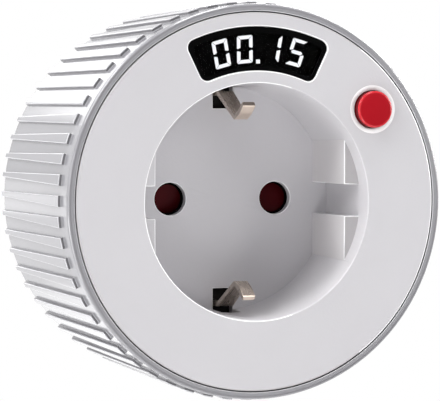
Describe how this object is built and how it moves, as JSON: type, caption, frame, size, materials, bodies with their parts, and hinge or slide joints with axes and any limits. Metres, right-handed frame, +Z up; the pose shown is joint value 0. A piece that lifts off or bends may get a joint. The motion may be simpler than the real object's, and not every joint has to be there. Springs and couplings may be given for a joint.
{
  "type": "plug in timer switch",
  "caption": "Round plug-in countdown timer with a socket well, a ribbed setting ring, a small lit display, a push button and a two-pin plug at the back.",
  "frame": {"origin": "centre of the plug's contact face, midway between the two pins", "axes": "+Y along the pins, into the wall socket; +Z up, towards the display; +X to the right as seen from the front, so the socket well faces -Y"},
  "size_m": [0.0666, 0.0819, 0.0666],
  "materials": {
    "cover_plastic": "fine satin white moulded plastic",
    "ring_plastic": "glossy silver-grey moulded plastic",
    "floor_plastic": "satin white moulded plastic",
    "housing_plastic": "fine satin white moulded plastic",
    "gear_plastic": "natural acetal",
    "window_pane": "dark clear filter pane, polished",
    "display_light": "lit white segments",
    "display_black": "black display body",
    "board_green": "green circuit board",
    "button_red": "glossy red cap",
    "switch_grey": "grey switch body",
    "plunger_black": "black switch plunger",
    "encoder_grey": "grey encoder body",
    "shutter_red": "dark red moulded plastic",
    "spring_steel": "bright spring wire",
    "carrier_cream": "cream heat-proof plastic",
    "contact_brass": "bare brass",
    "clip_nickel": "nickel plated spring strip",
    "earth_steel": "blackened sheet steel",
    "pin_nickel": "nickel plated brass, turned",
    "strip_nickel": "nickel plated strip",
    "screw_steel": "zinc plated steel",
    "relay_blue": "blue relay case",
    "film_cream": "dipped film capacitor case",
    "can_blue": "blue sleeve",
    "varistor_orange": "orange dipped disc",
    "fuse_tan": "tan resistor body",
    "chip_black": "black chip case",
    "ribbon_grey": "grey ribbon cable"
  },
  "bodies": {
    "housing": {"front_cover": "cover_plastic", "rear_housing": "housing_plastic", "plug_boss": "housing_plastic", "socket_floor": "floor_plastic", "display_window": "window_pane", "display_digits": "display_light", "display_module": "display_black", "display_board": "board_green", "display_screws": "screw_steel", "tact_switch": "switch_grey", "encoder_body": "encoder_grey", "shutter_spring": "spring_steel", "contact_carrier": "carrier_cream", "live_contact": "contact_brass", "neutral_contact": "contact_brass", "earth_plate": "earth_steel", "earth_link": "earth_steel", "main_board": "board_green", "relay": "relay_blue", "film_capacitor": "film_cream", "smoothing_capacitor": "can_blue", "varistor": "varistor_orange", "fuse": "fuse_tan", "rectifier": "chip_black", "controller_chip": "chip_black", "ribbon_cable": "ribbon_grey", "plug_pin_left": "pin_nickel", "plug_pin_right": "pin_nickel", "plug_earth_upper": "strip_nickel", "plug_earth_lower": "strip_nickel", "housing_screws": "screw_steel"},
    "ring": {"setting_ring": "ring_plastic", "ring_gear": "gear_plastic"},
    "encoder": {"encoder_pinion": "gear_plastic"},
    "button": {"start_button": "button_red"},
    "tact": {"tact_plunger": "plunger_black"},
    "shutter": {"shutter": "shutter_red"},
    "clip_upper": {"earth_clip_upper": "clip_nickel"},
    "clip_lower": {"earth_clip_lower": "clip_nickel"}
  },
  "joints": [
    {"name": "ring_turn", "type": "hinge", "parent": "housing", "child": "ring", "pos_m": [0, -0.04, 0], "axis": [0, -1, 0], "continuous": true},
    {"name": "encoder_turn", "type": "hinge", "parent": "housing", "child": "encoder", "pos_m": [-0.01612, -0.035, 0.01612], "axis": [0, -1, 0], "continuous": true},
    {"name": "button_press", "type": "slide", "parent": "housing", "child": "button", "axis": [0, 1, 0], "range_m": [0, 0.0005], "stiffness_N_per_m": 1500},
    {"name": "tact_press", "type": "slide", "parent": "housing", "child": "tact", "axis": [0, 1, 0], "range_m": [0, 0.0005]},
    {"name": "shutter_turn", "type": "hinge", "parent": "housing", "child": "shutter", "pos_m": [0, -0.041, 0], "axis": [0, 1, 0], "range_deg": [0, 42], "stiffness_Nm_per_rad": 0.004},
    {"name": "clip_upper_flex", "type": "hinge", "parent": "housing", "child": "clip_upper", "pos_m": [0, -0.0422, 0.01835], "axis": [-1, 0, 0], "range_deg": [0, 7], "stiffness_Nm_per_rad": 0.44},
    {"name": "clip_lower_flex", "type": "hinge", "parent": "housing", "child": "clip_lower", "pos_m": [0, -0.0422, -0.01835], "axis": [1, 0, 0], "range_deg": [0, 7], "stiffness_Nm_per_rad": 0.44}
  ],
  "couplings": [
    {"joint": "encoder_turn", "follows": "ring_turn", "ratio": 4.8},
    {"joint": "tact_press", "follows": "button_press", "ratio": 1}
  ]
}
